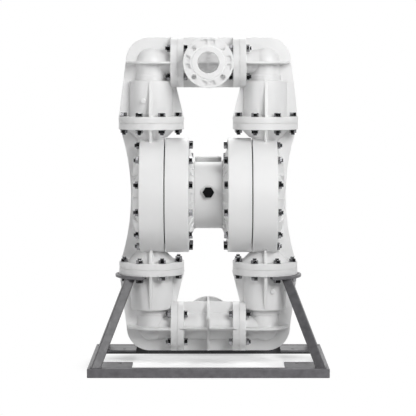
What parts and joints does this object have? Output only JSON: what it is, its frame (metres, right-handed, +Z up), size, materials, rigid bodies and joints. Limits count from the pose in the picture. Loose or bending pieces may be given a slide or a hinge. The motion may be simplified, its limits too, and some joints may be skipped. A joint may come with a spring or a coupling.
{
  "type": "air operated diaphragm pump",
  "caption": "Air operated double diaphragm pump: two round chambers, ribbed elbow manifolds with flanged outlet and inlet tees, on a square tube stand.",
  "frame": {"origin": "on the floor, under the middle of the pump and of its stand", "axes": "+Z up, +X across the two chambers to the right, -Y to the front, where the outlet flange faces"},
  "size_m": [0.904, 0.58, 1.2663],
  "materials": {
    "white_polypropylene": "moulded, satin",
    "bolt_steel": "bright stainless",
    "stand_paint": "dark grey paint, satin",
    "valve_casting": "moulded, satin",
    "black_rubber": "matt",
    "black_plug": "black",
    "shaft_steel": "ground",
    "bushing_bronze": "turned",
    "spool_aluminium": "anodised",
    "muffler_plastic": "matt black"
  },
  "bodies": {
    "pump_on_stand": {"air_chamber_left": "white_polypropylene", "air_chamber_right": "white_polypropylene", "air_valve_body": "valve_casting", "air_valve_end_caps": "valve_casting", "air_valve_gasket": "black_rubber", "air_valve_screws": "bolt_steel", "base_rail_front": "stand_paint", "base_rail_left": "stand_paint", "base_rail_rear": "stand_paint", "base_rail_right": "stand_paint", "center_bolts": "bolt_steel", "center_plug": "black_plug", "center_section": "white_polypropylene", "chamber_bolts_left": "bolt_steel", "chamber_bolts_right": "bolt_steel", "diaphragm_left": "black_rubber", "diaphragm_right": "black_rubber", "exhaust_muffler": "muffler_plastic", "foot_plates": "stand_paint", "inlet_elbow_left": "white_polypropylene", "inlet_elbow_right": "white_polypropylene", "inlet_left_seat": "white_polypropylene", "inlet_manifold_bolts": "bolt_steel", "inlet_port_bolts": "bolt_steel", "inlet_right_seat": "white_polypropylene", "inlet_tee": "white_polypropylene", "leg_front_left": "stand_paint", "leg_front_right": "stand_paint", "leg_rear_left": "stand_paint", "leg_rear_right": "stand_paint", "liquid_chamber_left": "white_polypropylene", "liquid_chamber_right": "white_polypropylene", "manifold_rings": "black_rubber", "outlet_elbow_left": "white_polypropylene", "outlet_elbow_right": "white_polypropylene", "outlet_left_seat": "white_polypropylene", "outlet_manifold_bolts": "bolt_steel", "outlet_port_bolts": "bolt_steel", "outlet_right_seat": "white_polypropylene", "outlet_tee": "white_polypropylene", "pilot_sleeve": "bushing_bronze", "seat_rings": "black_rubber", "shaft_bushings": "bushing_bronze", "shaft_seals": "black_rubber", "support_plate_left": "stand_paint", "support_plate_right": "stand_paint"},
    "shaft_assembly": {"diaphragm_shaft": "shaft_steel", "outer_piston_left": "white_polypropylene", "outer_piston_right": "white_polypropylene", "inner_piston_left": "shaft_steel", "inner_piston_right": "shaft_steel"},
    "pilot_spool_body": {"pilot_spool": "shaft_steel"},
    "air_spool_body": {"air_valve_spool": "spool_aluminium"},
    "outlet_left_ball_body": {"outlet_left_ball": "black_rubber"},
    "outlet_right_ball_body": {"outlet_right_ball": "black_rubber"},
    "inlet_left_ball_body": {"inlet_left_ball": "black_rubber"},
    "inlet_right_ball_body": {"inlet_right_ball": "black_rubber"}
  },
  "joints": [
    {"name": "diaphragm_shaft_slide", "type": "slide", "parent": "pump_on_stand", "child": "shaft_assembly", "axis": [1, 0, 0], "range_m": [-0.025, 0.025], "deforming": ["diaphragm_left", "diaphragm_right"]},
    {"name": "pilot_spool_slide", "type": "slide", "parent": "pump_on_stand", "child": "pilot_spool_body", "axis": [1, 0, 0], "range_m": [-0.008, 0.008]},
    {"name": "air_spool_slide", "type": "slide", "parent": "pump_on_stand", "child": "air_spool_body", "axis": [0, 0, 1], "range_m": [0, 0.016]},
    {"name": "outlet_left_ball_lift", "type": "slide", "parent": "pump_on_stand", "child": "outlet_left_ball_body", "axis": [0, 0, 1], "range_m": [0, 0.022]},
    {"name": "outlet_right_ball_lift", "type": "slide", "parent": "pump_on_stand", "child": "outlet_right_ball_body", "axis": [0, 0, 1], "range_m": [0, 0.022]},
    {"name": "inlet_left_ball_lift", "type": "slide", "parent": "pump_on_stand", "child": "inlet_left_ball_body", "axis": [0, 0, 1], "range_m": [0, 0.022]},
    {"name": "inlet_right_ball_lift", "type": "slide", "parent": "pump_on_stand", "child": "inlet_right_ball_body", "axis": [0, 0, 1], "range_m": [0, 0.022]}
  ]
}
